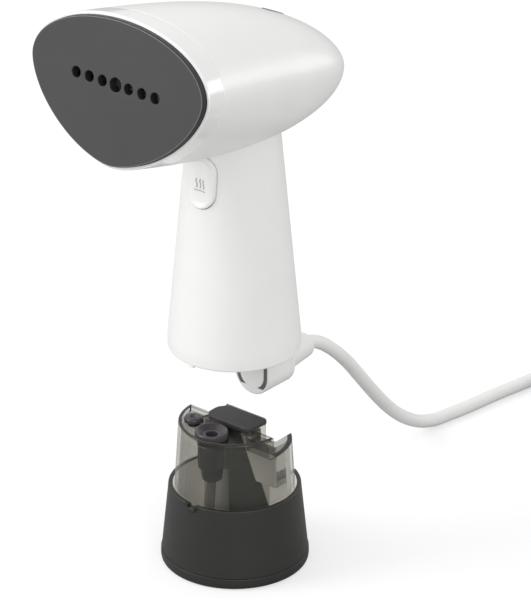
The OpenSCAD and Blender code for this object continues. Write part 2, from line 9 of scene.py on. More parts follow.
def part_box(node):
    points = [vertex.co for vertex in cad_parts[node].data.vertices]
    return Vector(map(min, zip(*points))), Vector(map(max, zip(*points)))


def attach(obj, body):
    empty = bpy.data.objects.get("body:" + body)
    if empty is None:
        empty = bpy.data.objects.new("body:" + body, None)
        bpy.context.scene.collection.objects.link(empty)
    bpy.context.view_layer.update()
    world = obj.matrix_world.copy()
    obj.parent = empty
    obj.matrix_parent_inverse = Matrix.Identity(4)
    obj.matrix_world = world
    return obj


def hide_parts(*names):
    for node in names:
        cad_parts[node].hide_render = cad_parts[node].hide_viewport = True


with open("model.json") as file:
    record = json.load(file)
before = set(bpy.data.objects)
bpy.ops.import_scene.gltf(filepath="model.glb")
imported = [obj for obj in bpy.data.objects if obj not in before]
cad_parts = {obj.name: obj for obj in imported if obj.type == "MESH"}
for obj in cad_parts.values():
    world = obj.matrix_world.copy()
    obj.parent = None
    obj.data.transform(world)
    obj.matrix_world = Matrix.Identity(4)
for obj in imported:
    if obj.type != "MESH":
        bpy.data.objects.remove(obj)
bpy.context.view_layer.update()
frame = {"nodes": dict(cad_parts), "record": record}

scene = bpy.context.scene
MM = 0.001


def low(node):
    """Lowest corner of a CAD node, in millimetres."""
    return Vector(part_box(node)[0]) / MM


def high(node):
    """Highest corner of a CAD node, in millimetres."""
    return Vector(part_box(node)[1]) / MM


# ---- Sizes, in millimetres ----
# They come from the frame, or are those of part.scad. wing_z and wing_fronts differ from it by 1 to 2 mm.

foot_r = high("tank_base").x
foot_band_h = high("tank_base").z
skirt_h = high("tank_skirt").z
vessel_h = high("tank_vessel").z
floor_t = low("tank_vessel").z
lug_h = 1
lug_w = 3
handle_z = low("handle_sleeve").z + lug_h
handle_r = high("handle_sleeve").x
handle_top_z = high("handle_sleeve").z
core_z = low("handle_core").z
tongue_w = 2 * high("dock_tongue").x
tongue_low_z = low("dock_tongue").z
tongue_front_y = low("dock_tongue").y
tongue_rear_y = high("tongue_rear_cover").y
boot_end_y = high("cord_boot").y
deck_z = low("outlet_seal").z
plate_half_w = high("steam_plate").x

skirt_rim_r = 33.4
skirt_wall = 2.2
vessel_top_r = 28.2
vessel_wall = 1.8
vessel_slope = 0.0607
handle_taper = 0.0925
handle_wall = 2
band_h = 6
bulkhead_z = core_z - 2.5
tongue_cover_t = 3
boot_z = 98.5
cord_d = 7

# The head's own frame: origin at the middle steam hole, +Y into the head, leaning with the plate.
plate_lean = 10
hole_row = Vector((0, -85.7, 287.7))
HEAD = Matrix.Translation(hole_row) @ Matrix.Rotation(math.radians(-plate_lean), 4, "X")
widest_z = 3.3
plate_up = 27.8
plate_down = 43.1
plate_t = 4.6
rim_y = 4
rim_w = 1.7
head_len = 144
axis_drop = 7.5
collar_len = 13
collar_wall = 1.3
lip_w = 1.55
shell_wall = 2.2
seam_gap = 0.15

middle_hole_d = 7
side_hole_d = 5.4
hole_pitch = 8.2

trigger_w = 17.4
trigger_h = 27.4
trigger_mid_z = 216.5
trigger_gap = 0.35
trigger_proud = 1.3
dish_depth = 1.3
dish_half_w = 6.5
dish_start = 1.2
dish_full = 3

outlet_xy = (0, -17.6)
vent_xy = (-18.2, -10.2)
filler_xy = (2, -1)
wing_z = 67
wing_fronts = (-2.8, -1.2)
block_half_w = 12.8
slot_half_w = 18.6
slot_y = 9.3
slot_low_z = 43.5
channel_half_w = 11.7
channel_y = 12.6
channel_low_z = 8.4
icon_z = 215

# ---- Camera ----


def make_camera():
    """The photograph's view: 40 degrees round from the front towards +X, looking down by 26 degrees."""
    data = bpy.data.cameras.new("camera")
    data.sensor_width = 36
    data.lens = 289
    camera = bpy.data.objects.new("camera", data)
    scene.collection.objects.link(camera)
    camera.location = (1.386, -1.630, 1.187)
    aim = Vector((0.0004, 0.0236, 0.1349))
    camera.rotation_mode = "QUATERNION"
    camera.rotation_quaternion = (aim - camera.location).to_track_quat("-Z", "Y")
    data.clip_end = 50
    scene.camera = camera


make_camera()

# ---- Materials ----


class Shader:
    """A Principled material with short helpers for its nodes. Coordinates are metres on the object."""

    def __init__(self, name, roughness, **sockets):
        self.material = bpy.data.materials.new(name)
        self.material.use_nodes = True
        self.tree = self.material.node_tree
        self.bsdf = self.tree.nodes["Principled BSDF"]
        self.coordinates = self.tree.nodes.new("ShaderNodeTexCoord").outputs["Object"]
        self.bsdf.inputs["Roughness"].default_value = roughness
        for socket, value in sockets.items():
            self.bsdf.inputs[socket.replace("_", " ")].default_value = value

    def node(self, kind, inputs=(), **settings):
        made = self.tree.nodes.new(kind)
        for key, value in settings.items():
            setattr(made, key, value)
        for key, value in dict(inputs).items():
            if isinstance(value, bpy.types.NodeSocket):
                self.tree.links.new(value, made.inputs[key])
            else:
                made.inputs[key].default_value = value
        return made

    def noise(self, size_mm, detail=3, stretch=(1, 1, 1)):
        """Noise whose features are about size_mm across, shrunk along each axis by stretch."""
        mapped = self.node("ShaderNodeMapping", {"Vector": self.coordinates, "Scale": stretch})
        return self.node(
            "ShaderNodeTexNoise",
            {"Vector": mapped.outputs["Vector"], "Scale": 1 / (size_mm * MM), "Detail": detail},
        ).outputs["Fac"]

    def colour(self, factor, *stops):
        """Base colour from a ramp of (position, colour) stops over factor."""
        ramp = self.node("ShaderNodeValToRGB", {"Fac": factor})
        elements = ramp.color_ramp.elements
        while len(elements) < len(stops):
            elements.new(0.5)
        for element, (position, colour) in zip(elements, stops):
            element.position = position
            element.color = (*colour, 1)
        self.tree.links.new(ramp.outputs["Color"], self.bsdf.inputs["Base Color"])

    def vary_roughness(self, factor, lowest, highest):
        spread = self.node("ShaderNodeMapRange", {"Value": factor, "To Min": lowest, "To Max": highest})
        self.tree.links.new(spread.outputs["Result"], self.bsdf.inputs["Roughness"])

    def bump(self, *layers):
        """Bump from (height, depth in millimetres) layers, one over another."""
        normal = None
        for height, depth_mm in layers:
            inputs = {"Height": height, "Distance": depth_mm * MM, "Strength": 1.0}
            if normal is not None:
                inputs["Normal"] = normal
            normal = self.node("ShaderNodeBump", inputs).outputs["Normal"]
        self.tree.links.new(normal, self.bsdf.inputs["Normal"])


def tinted(colour, factor):
    """The colour made lighter or darker by a factor."""
    return tuple(min(1, c * factor) for c in colour)


def moulded(name, colour, roughness, grain_mm=0.5, grain_depth=0.004, variation=0.04, **sockets):
    """Moulded plastic or rubber: a fine grain, slow colour drift and slightly uneven gloss."""
    shader = Shader(name, roughness, **sockets)
    drift = shader.noise(22, 2)
    shader.colour(drift, (0.35, tinted(colour, 1 - variation)), (0.65, tinted(colour, 1 + variation)))
    shader.vary_roughness(shader.noise(9, 4), roughness * 0.88, roughness * 1.12)
    shader.bump((shader.noise(grain_mm, 2), grain_depth), (shader.noise(6, 1), 0.01))
    return shader.material


def metal(name, colour, roughness, grain_mm=0.3, stretch=(1, 1, 1), depth=0.01):
    """Metal with a brushed, cast or plated surface, set by the grain's size and stretch."""
    shader = Shader(name, roughness, Metallic=1.0)
    grain = shader.noise(grain_mm, 4, stretch)
    shader.colour(grain, (0.3, tinted(colour, 0.82)), (0.7, tinted(colour, 1.08)))
    shader.vary_roughness(shader.noise(4, 3), roughness * 0.8, roughness * 1.25)
    shader.bump((grain, depth))
    return shader.material


def smoked(name, roughness, clear, rim_r=None):
    """Smoked clear plastic: light passes straight through, dimmed by clear, under a glossy skin.

    Beyond rim_r from the tank's axis it is solid, as a wall's end looks when light has to cross
    its whole height."""
    shader = Shader(name, roughness, Base_Color=(1, 1, 1, 1), Metallic=1.0)
    shader.vary_roughness(shader.noise(12, 3), roughness * 0.8, roughness * 1.2)
    shader.bump((shader.noise(14, 1), 0.01))
    tint = shader.node("ShaderNodeMix", {"Factor": shader.noise(25, 2)}, data_type="RGBA")
    tint.inputs["A"].default_value = (*tinted(clear, 0.96), 1)
    tint.inputs["B"].default_value = (*tinted(clear, 1.04), 1)
    glass = shader.node("ShaderNodeBsdfTransparent", {"Color": tint.outputs["Result"]})
    facing = shader.node("ShaderNodeLayerWeight", {"Blend": 0.5}).outputs["Facing"]
    steep = shader.node("ShaderNodeMath", {0: facing, 1: 4.0}, operation="POWER").outputs["Value"]
    gloss = shader.node("ShaderNodeMapRange", {"Value": steep, "To Min": 0.035, "To Max": 0.5})
    links = shader.tree.links
    mixed = shader.node("ShaderNodeMixShader", {"Fac": gloss.outputs["Result"]})
    links.new(glass.outputs["BSDF"], mixed.inputs[1])
    links.new(shader.bsdf.outputs["BSDF"], mixed.inputs[2])
    if rim_r:
        inner = mixed
        place = shader.node("ShaderNodeSeparateXYZ", {"Vector": shader.coordinates}).outputs
        flat = shader.node("ShaderNodeCombineXYZ", {"X": place["X"], "Y": place["Y"]})
        reach = shader.node("ShaderNodeVectorMath", {0: flat.outputs["Vector"]}, operation="LENGTH")
        blur = 0.1
        limits = {"From Min": (rim_r - blur) * MM, "From Max": (rim_r + blur) * MM}
        solid = shader.node("ShaderNodeMapRange", {"Value": reach.outputs["Value"], **limits})
        dark = {"Base Color": (0.012, 0.0115, 0.01, 1), "Roughness": roughness}
        rim = shader.node("ShaderNodeBsdfPrincipled", dark)
        mixed = shader.node("ShaderNodeMixShader", {"Fac": solid.outputs["Result"]})
        links.new(inner.outputs["Shader"], mixed.inputs[1])
        links.new(rim.outputs["BSDF"], mixed.inputs[2])
    links.new(mixed.outputs["Shader"], shader.tree.nodes["Material Output"].inputs["Surface"])
    return shader.material


# The painted shade column's right edge leans, by this much across for each unit up, and meets the base here.
SHADE_COLUMN_SLANT = 0.417
SHADE_COLUMN_RIGHT = 25.5


def paint_backlight_and_shade():
    """The vessel's rear wall from inside, with painted light and shade: pale where light would come through
    from behind, dark along the channel.
    """
    shader = Shader("smoke_painted_backlight_and_shade", 0.5, Specular_IOR_Level=0.2)
    place = shader.node("ShaderNodeSeparateXYZ", {"Vector": shader.coordinates}).outputs
    slant = {0: place["Z"], 1: SHADE_COLUMN_SLANT, 2: place["X"]}
    slanted = shader.node("ShaderNodeMath", slant, operation="MULTIPLY_ADD").outputs["Value"]
    right = {"Value": slanted, "From Min": SHADE_COLUMN_RIGHT * MM, "From Max": (SHADE_COLUMN_RIGHT - 1) * MM}
    left_x = -(channel_half_w + 2.2)
    left = {"Value": place["X"], "From Min": left_x * MM, "From Max": (left_x + 0.6) * MM}
    sides = {}
    for i, edge in enumerate((left, right)):
        sides[i] = shader.node("ShaderNodeMapRange", edge).outputs["Result"]
    column = shader.node("ShaderNodeMath", sides, operation="MULTIPLY").outputs["Value"]
    # Painted light and shade: the pale colour stands in for light shining through the wall from behind, the
    # dark colour is painted shade along the channel.
    shader.colour(column, (0, (0.8, 0.795, 0.77)), (1, (0.07, 0.069, 0.063)))
    shader.vary_roughness(shader.noise(9, 4), 0.45, 0.55)
    shader.bump((shader.noise(0.5, 2), 0.004))
    return shader.material


WHITE = (0.82, 0.82, 0.81)
MATERIALS = {
    "white_gloss": moulded(
        "white_gloss", WHITE, 0.33, 0.6, 0.0015, 0.008, Coat_Weight=0.2, Coat_Roughness=0.2
    ),
    "white_satin": moulded("white_satin", WHITE, 0.42, 0.35, 0.003, 0.008),
    "plate_grey": moulded(
        "plate_grey", (0.053, 0.051, 0.0525), 0.45, 0.4, 0.004, 0.03, Specular_IOR_Level=0.35
    ),
    "lens": moulded("lens", (0.13, 0.135, 0.145), 0.12, 1.5, 0.002, 0.03, Coat_Weight=0.5),
    "circuit_board": moulded("circuit_board", (0.02, 0.11, 0.05), 0.35, 0.8, 0.02, 0.2),
    "cast_aluminium": metal("cast_aluminium", (0.6, 0.61, 0.63), 0.5, 0.8, depth=0.06),
    "steel": metal("steel", (0.58, 0.58, 0.59), 0.3, 0.25, (1, 1, 0.05)),
    "black_plastic": moulded("black_plastic", (0.03, 0.03, 0.032), 0.4, 0.3, 0.01),
    "ceramic": moulded("ceramic", (0.74, 0.72, 0.66), 0.3, 0.5, 0.01, 0.05),
    "silicone": moulded("silicone", (0.62, 0.61, 0.57), 0.38, 0.8, 0.004, 0.03, Subsurface_Weight=0.3),
    "black_silicone": moulded("black_silicone", (0.02, 0.02, 0.021), 0.6, 0.5, 0.01),
    "pump_plastic": moulded("pump_plastic", (0.72, 0.72, 0.69), 0.4, 0.4, 0.006),
    "copper_winding": metal("copper_winding", (0.6, 0.25, 0.1), 0.3, 0.5, (0.02, 0.02, 1.6), 0.12),
    "plunger_red": moulded("plunger_red", (0.45, 0.04, 0.03), 0.4),
    "wire_sheath": moulded("wire_sheath", (0.2, 0.12, 0.08), 0.45, 0.4, 0.006, 0.1),
    "cord_white": moulded("cord_white", (0.76, 0.76, 0.75), 0.5, 0.4, 0.01, 0.015),
    "plug_metal": metal("plug_metal", (0.72, 0.7, 0.66), 0.2, 0.2, (1, 0.05, 1), 0.004),
    "smoke_dark": moulded(
        "smoke_dark", (0.009, 0.0088, 0.0075), 0.48, 0.5, 0.003, 0.05, Specular_IOR_Level=0.65
    ),
    "smoke_clear": smoked("smoke_clear", 0.25, (0.745, 0.74, 0.715)),
    "seal_rubber": moulded("seal_rubber", (0.029, 0.0265, 0.029), 0.5, 0.35, 0.01, 0.06),
    "tube_grey": moulded("tube_grey", (0.17, 0.168, 0.155), 0.35, 0.5, 0.005),
}

# Finishes for marks, edges and walls that look different from their piece's own slot. Some are painted light
# and shade: a painted highlight on the collar's lip and round the plate's face, painted shade on the plate's
# side wall, a painted glow inside the skirt, and painted backlight and shade behind the vessel.
COLLAR = moulded("collar_gloss", WHITE, 0.16, 0.6, 0.001, 0.008, Coat_Weight=0.5, Coat_Roughness=0.06)
# Painted highlight: a lighter copy of the collar's white for its front lip.
RIM_HIGHLIGHT = moulded("rim_painted_highlight", (0.93, 0.93, 0.925), 0.33)
# Painted highlight for the plate's bevel line, and painted shade for its side wall.
PLATE_HIGHLIGHT = moulded("plate_painted_highlight", (0.17, 0.166, 0.168), 0.4)
PLATE_WALL_SHADE = moulded("plate_wall_painted_shade", (0.02, 0.0195, 0.02), 0.45)
SLIT = moulded("slit_grey", (0.12, 0.12, 0.117), 0.4)
MARK = moulded("mark_grey", (0.42, 0.42, 0.42), 0.45)
WELL = moulded("well_smoke", (0.05, 0.049, 0.044), 0.2)
EDGE = moulded("smoke_edge", (0.012, 0.0115, 0.01), 0.35)
RIM = smoked("smoke_rim", 0.3, (0.6, 0.595, 0.57), vessel_top_r - vessel_wall)
PAINTED_BACKLIGHT_AND_SHADE = paint_backlight_and_shade()
# Painted glow: the skirt's inner wall is pale and glows, so that what is seen through the vessel looks lit.
SKIRT_INNER_GLOW = moulded(
    "skirt_inner_painted_glow", (0.8, 0.795, 0.77), 0.5, 0.5, 0.004, 0.05,
    Emission_Strength=0.4, Emission_Color=(1, 0.99, 0.96, 1),
)
SEAL = moulded("seal_gloss", (0.05, 0.045, 0.052), 0.25, 0.5, 0.004, 0.06)

for subpart in frame["record"]["subparts"]:
    node_object = frame["nodes"][subpart["node"]]
    finish = MATERIALS[subpart["material_slot"]]
    if not node_object.data.materials:
        node_object.data.materials.append(finish)
    for material_slot in node_object.material_slots:
        material_slot.material = finish

# ---- Mesh tools, in millimetres ----

ROUND = 160
FINE_ARC = 6


def link(name, mesh):
    """A new object in the scene."""
    obj = bpy.data.objects.new(name, mesh)
    scene.collection.objects.link(obj)
    return obj


def clean(obj):
    """Joins doubled points, drops loose ones and turns the faces outwards."""
    shape = bmesh.new()
    shape.from_mesh(obj.data)
    bmesh.ops.remove_doubles(shape, verts=shape.verts, dist=0.002 * MM)
    bmesh.ops.dissolve_degenerate(shape, edges=shape.edges, dist=0.001 * MM)
    loose = [point for point in shape.verts if not point.link_faces]
    bmesh.ops.delete(shape, geom=loose, context="VERTS")
    bmesh.ops.recalc_face_normals(shape, faces=shape.faces)
    if shape.calc_volume(signed=True) < 0:
        bmesh.ops.reverse_faces(shape, faces=shape.faces)
    shape.to_mesh(obj.data)
    shape.free()
    return obj


def loft(name, rings, place=Matrix(), closed=False):
    """A skin over rings of points: closed joins the last ring to the first, otherwise the ends are capped."""
    sides, count = len(rings[0]), len(rings)
    mesh = bpy.data.meshes.new(name)
    faces = []
    for r in range(count if closed else count - 1):
        here, ahead = r * sides, (r + 1) % count * sides
        for i in range(sides):
            j = (i + 1) % sides
            faces.append((here + i, here + j, ahead + j, ahead + i))
    if not closed:
        faces += [tuple(range(sides)), tuple((count - 1) * sides + i for i in range(sides))]
    mesh.from_pydata([place @ Vector(p) * MM for ring in rings for p in ring], [], faces)
    return clean(link(name, mesh))


def lathe(name, profile, centre=(0, 0), place=Matrix(), steps=ROUND):
    """A solid of revolution about Z, from a closed profile of (radius, height) points."""
    turns = [(math.cos(2 * math.pi * i / steps), math.sin(2 * math.pi * i / steps)) for i in range(steps)]
    rings = [[(centre[0] + r * c, centre[1] + r * s, z) for r, z in profile] for c, s in turns]
    return loft(name, rings, place, closed=True)


def arc(centre, radius, start, end, steps=FINE_ARC):
    """Points on an arc between two angles in degrees."""
    angles = [math.radians(start + (end - start) * i / steps) for i in range(steps + 1)]
    return [(centre[0] + radius * math.cos(a), centre[1] + radius * math.sin(a)) for a in angles]


def rounded(corners, steps=FINE_ARC):
    """A closed outline through (x, y) corners; a corner given as (x, y, radius) is rounded."""
    outline = []
    for i, corner in enumerate(corners):
        here = Vector(corner[:2])
        if len(corner) == 2:
            outline.append(tuple(here))
            continue
        back = (Vector(corners[i - 1][:2]) - here).normalized()
        on = (Vector(corners[(i + 1) % len(corners)][:2]) - here).normalized()
        half = back.angle(on) / 2
        centre = here + (back + on).normalized() * corner[2] / math.sin(half)
        start, end = (here + way * corner[2] / math.tan(half) - centre for way in (back, on))
        first = math.degrees(math.atan2(start.y, start.x))
        sweep = (math.degrees(math.atan2(end.y, end.x)) - first + 180) % 360 - 180
        outline += arc(centre, corner[2], first, first + sweep, steps)
    return outline


def edge_steps(start, end, radius, steps=4):
    """(inset, depth) pairs through a slab's thickness, with its two edges rounded."""
    turns = [math.pi / 2 * i / steps for i in range(steps + 1)]
    near = [(radius * (1 - math.sin(t)), start + radius * (1 - math.cos(t))) for t in turns]
    return near + [(inset, start + end - depth) for inset, depth in reversed(near)]


def slab(name, outline_at, start, end, radius=0.0, place=Matrix()):
    """A plate facing Y from start to end; outline_at(inset) gives its (x, z) outline."""
    steps = edge_steps(start, end, radius) if radius else [(0, start), (0, end)]
    return loft(name, [[(x, y, z) for x, z in outline_at(inset)] for inset, y in steps], place)


def prism(name, outline, bottom, top):
    """An upright solid over an (x, y) outline."""
    return loft(name, [[(x, y, z) for x, y in outline] for z in (bottom, top)])


def box(name, lowest, highest, radius=0.0):
    """An upright block with rounded upright edges."""
    (x0, y0, z0), (x1, y1, z1) = lowest, highest
    corners = [(x0, y0), (x1, y0), (x1, y1), (x0, y1)]
    return prism(name, rounded([(*c, radius) for c in corners]) if radius else corners, z0, z1)


def settle(obj):
    """Makes the result of an object's modifiers its mesh."""
    result = bpy.data.meshes.new_from_object(obj.evaluated_get(bpy.context.evaluated_depsgraph_get()))
    obj.modifiers.clear()
    obj.data = result
    return obj


def combine(obj, *others, operation="DIFFERENCE"):
    """Cuts the others from obj, or joins or intersects them with it, and deletes them."""
    for other in others:
        step = obj.modifiers.new("combine", "BOOLEAN")
        step.operation = operation
        step.solver = "EXACT"
        step.object = other
    settle(obj)
    for other in others:
        bpy.data.objects.remove(other)
    return obj


def fit(obj, body, slot, *nodes, bevel=0.0, sharp=32, finish=None, edges=None):
    """Rounds and shades a piece, gives it its finish and stands it in for its CAD nodes.

    edges is a second finish, for the rounded edges."""
    obj.data.materials.clear()
    for _ in range(2 if edges else 1):
        obj.data.materials.append(None)
    if bevel:
        step = obj.modifiers.new("edges", "BEVEL")
        step.width = bevel * MM
        step.segments = 2
        step.limit_method = "ANGLE"
        step.angle_limit = math.radians(sharp)
        step.use_clamp_overlap = False
        step.miter_outer = "MITER_ARC"
        step.material = 1 if edges else -1
        settle(obj)
        clean(obj)
    obj.data.shade_smooth()
    obj.data.set_sharp_from_angle(angle=math.radians(sharp))
    obj.modifiers.new("normals", "WEIGHTED_NORMAL").keep_sharp = True
    obj.data.materials[0] = finish or MATERIALS[slot]
    if edges:
        obj.data.materials[1] = edges
    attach(obj, body)
    if nodes:
        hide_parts(*nodes)
    return obj


def ease(value, start, end):
    """0 up to start, 1 from end on, and a smooth ramp between."""
    t = min(1, max(0, (value - start) / (end - start)))
    return t * t * (3 - 2 * t)


# Turns a lathe's axis from +Z to +Y.
TO_BACK = Matrix.Rotation(-math.pi / 2, 4, "X")

# ---- Head ----


def bullet(s, power):
    """A quarter of a superellipse: 1 at s = 0, falling to 0 at s = 1."""
    return (1 - min(1, max(0, s)) ** power) ** (1 / power)


def swell(s, amount):
    """A factor that is 1 at both ends and differs most halfway."""
    return 1 + amount * s * (1 - s)


def egg(angle, half_w, up, down, n_up=2.0, n_down=1.64):
    """A point of the egg-shaped plate outline, as (across, up)."""
    c, s = math.cos(angle), math.sin(angle)
    power = n_up if s >= 0 else n_down
    reach = (abs(c) ** power + abs(s) ** power) ** (-1 / power)
    return half_w * c * reach, (up if s >= 0 else down) * s * reach


def angles(sides):
    """Evenly spaced angles round a full turn."""
    return [2 * math.pi * i / sides for i in range(sides)]


def plate_outline(inset, sides=192):
    """The plate's outline in the head's frame, moved inwards by inset."""
    sizes = plate_half_w - inset, plate_up - inset, plate_down - inset
    return [(x, z + widest_z) for x, z in (egg(a, *sizes) for a in angles(sides))]


def head_ring(y, inset, sides=160):
    """One ring of the head's skin at a depth, moved inwards by inset."""
    s = (y - rim_y) / (head_len - inset)
    half_w = (plate_half_w + rim_w - inset) * bullet(s, 2.75) * swell(s, -0.5)
    up = (plate_up + rim_w - inset) * bullet(s, 2.5) * swell(s, 0.26)
    down = (plate_down + rim_w - inset) * bullet(s, 2.3) * swell(s, 0.12)
    n_down = 1.64 + 0.36 * min(1, max(0, 1.5 * s))
    middle = widest_z - axis_drop * max(0, s)
    return [(x, y, z + middle) for x, z in (egg(a, half_w, up, down, 2, n_down) for a in angles(sides))]


def tip_depths(start, inset, rings=44):
    """Depths from start to the tip, closer together at the tip."""
    reach = rim_y + head_len - inset - start
    return [start + reach * min(0.99995, math.sin(math.pi / 2 * i / rings)) for i in range(rings + 1)]


def handle_outer_r(z):
    """The handle's outer radius at a height."""
    return handle_r - handle_taper * max(0, z - handle_z - band_h)


def forwards(face):
    """How squarely a face looks the way the plate does: 1 is straight ahead."""
    return -(HEAD.inverted().to_3x3() @ face.normal).y


def make_steam_plate():
    """The plate: a painted highlight line round its face, painted shade on its side wall and seven holes with
    rounded mouths.
    """
    # (inset, depth) from the face round to the back.
    edge = [(0.7, 0), (0.4, 0.12), (0.1, 0.6), (0, 1.2), (0, plate_t)]
    rings = [[(x, y, z) for x, z in plate_outline(inset)] for inset, y in edge]
    plate = loft("steam_plate_face", rings, HEAD)
    lip = 0.5
    turns = (0, 0.4, 0.8, 1.2, math.pi / 2)
    for i in range(-3, 4):
        r = (middle_hole_d if i == 0 else side_hole_d) / 2
        mouth = [(r + lip * (1 - math.sin(t)), lip * (1 - math.cos(t))) for t in turns]
        profile = [(0, -1), (r + lip, -1), *mouth, (r, plate_t + 1), (0, plate_t + 1)]
        place = HEAD @ Matrix.Translation((i * hole_pitch, 0, 0)) @ TO_BACK
        combine(plate, lathe("hole", profile, place=place, steps=48))
    fit(plate, "handset", "plate_grey", "steam_plate")
    plate.data.materials.append(PLATE_HIGHLIGHT)
    plate.data.materials.append(PLATE_WALL_SHADE)
    # Side wall faces get painted shade; the bevel faces round the face, away from the holes, get the painted
    # highlight.
    shaded_side_walls, highlight_line = 2, 1
    hole_reach = (3 * hole_pitch + side_hole_d) * MM
    for face in plate.data.polygons:
        away = (face.center - hole_row * MM).length > hole_reach
        if forwards(face) < 0.7:
            face.material_index = shaded_side_walls
        elif forwards(face) < 0.96 and away:
            face.material_index = highlight_line


def make_collar():
    """The ring behind the plate: its section is a list of (depth, inset) round its wall."""
    rear, lip_y = rim_y + collar_len, rim_y - 1
    chamfer = 0.25
    section = [(rear, chamfer)] + [(rim_y + (collar_len - chamfer) * i / 9, 0) for i in range(9, -1, -1)]
    section += [(lip_y + 0.5, 0), (lip_y + 0.15, 0.08), (lip_y, chamfer), (lip_y, lip_w)]
    section += [(lip_y + 2.5, lip_w)]
    section += [(rim_y + 3, collar_wall), (rear - collar_len * 0.5, collar_wall), (rear, collar_wall)]
    collar = loft("front_collar_ring", [head_ring(y, inset) for y, inset in section], HEAD, closed=True)
    fit(collar, "handset", "white_gloss", "front_collar", finish=COLLAR)
    collar.data.materials.append(RIM_HIGHLIGHT)
    # Faces looking straight ahead get the painted highlight.
    for face in collar.data.polygons:
        if forwards(face) > 0.8:
            face.material_index = 1


def make_head():
    """The bullet-shaped shell behind the collar, with openings for the handle's neck and the lens."""
    chamfer = 0.25
    front = rim_y + collar_len + seam_gap
    inner = [head_ring(y, shell_wall) for y in reversed(tip_depths(front, shell_wall, 20))]
    lip = [head_ring(front, chamfer)]
    outer = [head_ring(y, 0) for y in tip_depths(front + chamfer, 0)]
    shell = loft("head_casing", inner + lip + outer, HEAD)
    neck_low, neck_high = 200, 262
    low_r, high_r = (handle_outer_r(z) + seam_gap for z in (neck_low, neck_high))
    neck = [(0, neck_low), (low_r, neck_low), (high_r, neck_high), (0, neck_high)]
    combine(shell, lathe("neck", neck), lens_column("lens_hole", 0.15))
    fit(shell, "handset", "white_gloss", "head_shell")


def lens_column(name, gap):
    """The indicator lens's oval, as an upright column through the head's top."""
    lowest, highest = low("indicator_lens"), high("indicator_lens")
    r = highest.x + gap
    oval = arc((0, highest.y - highest.x), r, 0, 180, 16) + arc((0, lowest.y + highest.x), r, 180, 360, 16)
    return prism(name, oval, lowest.z - 3, highest.z + 6)


def make_lens():
    """The indicator lens, which follows the head's skin and stands slightly proud of it."""
    proud, thickness = 0.35, 3
    from_y = 90
    rings = [head_ring(y, -proud) for y in tip_depths(from_y, -proud)]
    inner = [head_ring(y, thickness) for y in reversed(tip_depths(from_y, thickness, 20))]
    lens = lens_column("indicator_light", 0)
    combine(lens, loft("lens_skin", inner + rings, HEAD), operation="INTERSECT")
    fit(lens, "handset", "lens", "indicator_lens", bevel=0.25)


# ---- Handle ----


def capsule(w, h, inset, steps=14):
    """An upright capsule's outline about the trigger's middle, moved inwards by inset."""
    r, rise = w / 2 - inset, (h - w) / 2
    top = arc((0, trigger_mid_z + rise), r, 0, 180, steps)
    return top + arc((0, trigger_mid_z - rise), r, 180, 360, steps)


def make_handle():
    """The conical sleeve, with the trigger's window and the small lug on its lower lip."""
    top_r = handle_outer_r(handle_top_z)
    rings = 50
    cone_low_z, cone_high_z = handle_z + 20, handle_top_z - 10
    rise = [cone_low_z + (cone_high_z - cone_low_z) * i / rings for i in range(rings + 1)]
    profile = rounded([
        (handle_r - handle_wall, handle_z, 0.5), (handle_r, handle_z, 1.1), (handle_r, handle_z + band_h, 30),
        *[(handle_outer_r(z), z) for z in rise],
        (top_r, handle_top_z, 0.4), (top_r - handle_wall, handle_top_z, 0.4),
        *[(handle_outer_r(z) - handle_wall, z) for z in reversed(rise)],
        (handle_r - handle_wall, handle_z + band_h, 20),
    ])
    handle = lathe("handle_grip", profile)
    window = slab("window", lambda inset: capsule(trigger_w, trigger_h, inset - trigger_gap), -40, -10)
    combine(handle, window)
    lug_low = (-lug_w / 2, 0.2 - handle_r, handle_z - lug_h)
    lug_high = (lug_w / 2, 1.6 - handle_r, handle_z + 0.6)
    combine(handle, box("lug", lug_low, lug_high, 0.4), operation="UNION")
    fit(clean(handle), "handset", "white_satin", "handle_sleeve", sharp=50)


def on_handle(x, z, proud):
    """The point on the handle's front at (x, z), stood proud of its surface."""
    return (x, -math.sqrt((handle_outer_r(z) + proud) ** 2 - x * x), z)


def trigger_face(x, inset):
    """How far the trigger stands proud of the handle: its middle is dished to a shallow valley."""
    depth = dish_depth * max(0, 1 - abs(x) / dish_half_w)
    return trigger_proud - depth * ease(inset, dish_start, dish_full)


def make_trigger():
    """The capsule-shaped button, wrapped round the handle's front."""
    edge_turns = (1.57, 1.1, 0.75, 0.4, 0)
    edge_r = 0.9
    soft_edge = [(edge_r * (1 - math.sin(t)), trigger_proud - edge_r * (1 - math.cos(t))) for t in edge_turns]
    rings = [[on_handle(x, z, proud) for x, z in capsule(trigger_w, trigger_h, inset)]
             for inset, proud in [(0, -5.5), (0, -1.5), *soft_edge]]
    # The dished face closes in on the trigger's middle line, and stops just short of it.
    steps = 13
    reach = trigger_w / 2 - 1.22
    for i in range(steps + 1):
        inset = dish_start + reach * i / steps
        outline = capsule(trigger_w, trigger_h, inset)
        rings.append([on_handle(x, z, trigger_face(x, inset)) for x, z in outline])
    fit(loft("steam_trigger", rings), "trigger", "white_satin", "trigger", sharp=50)


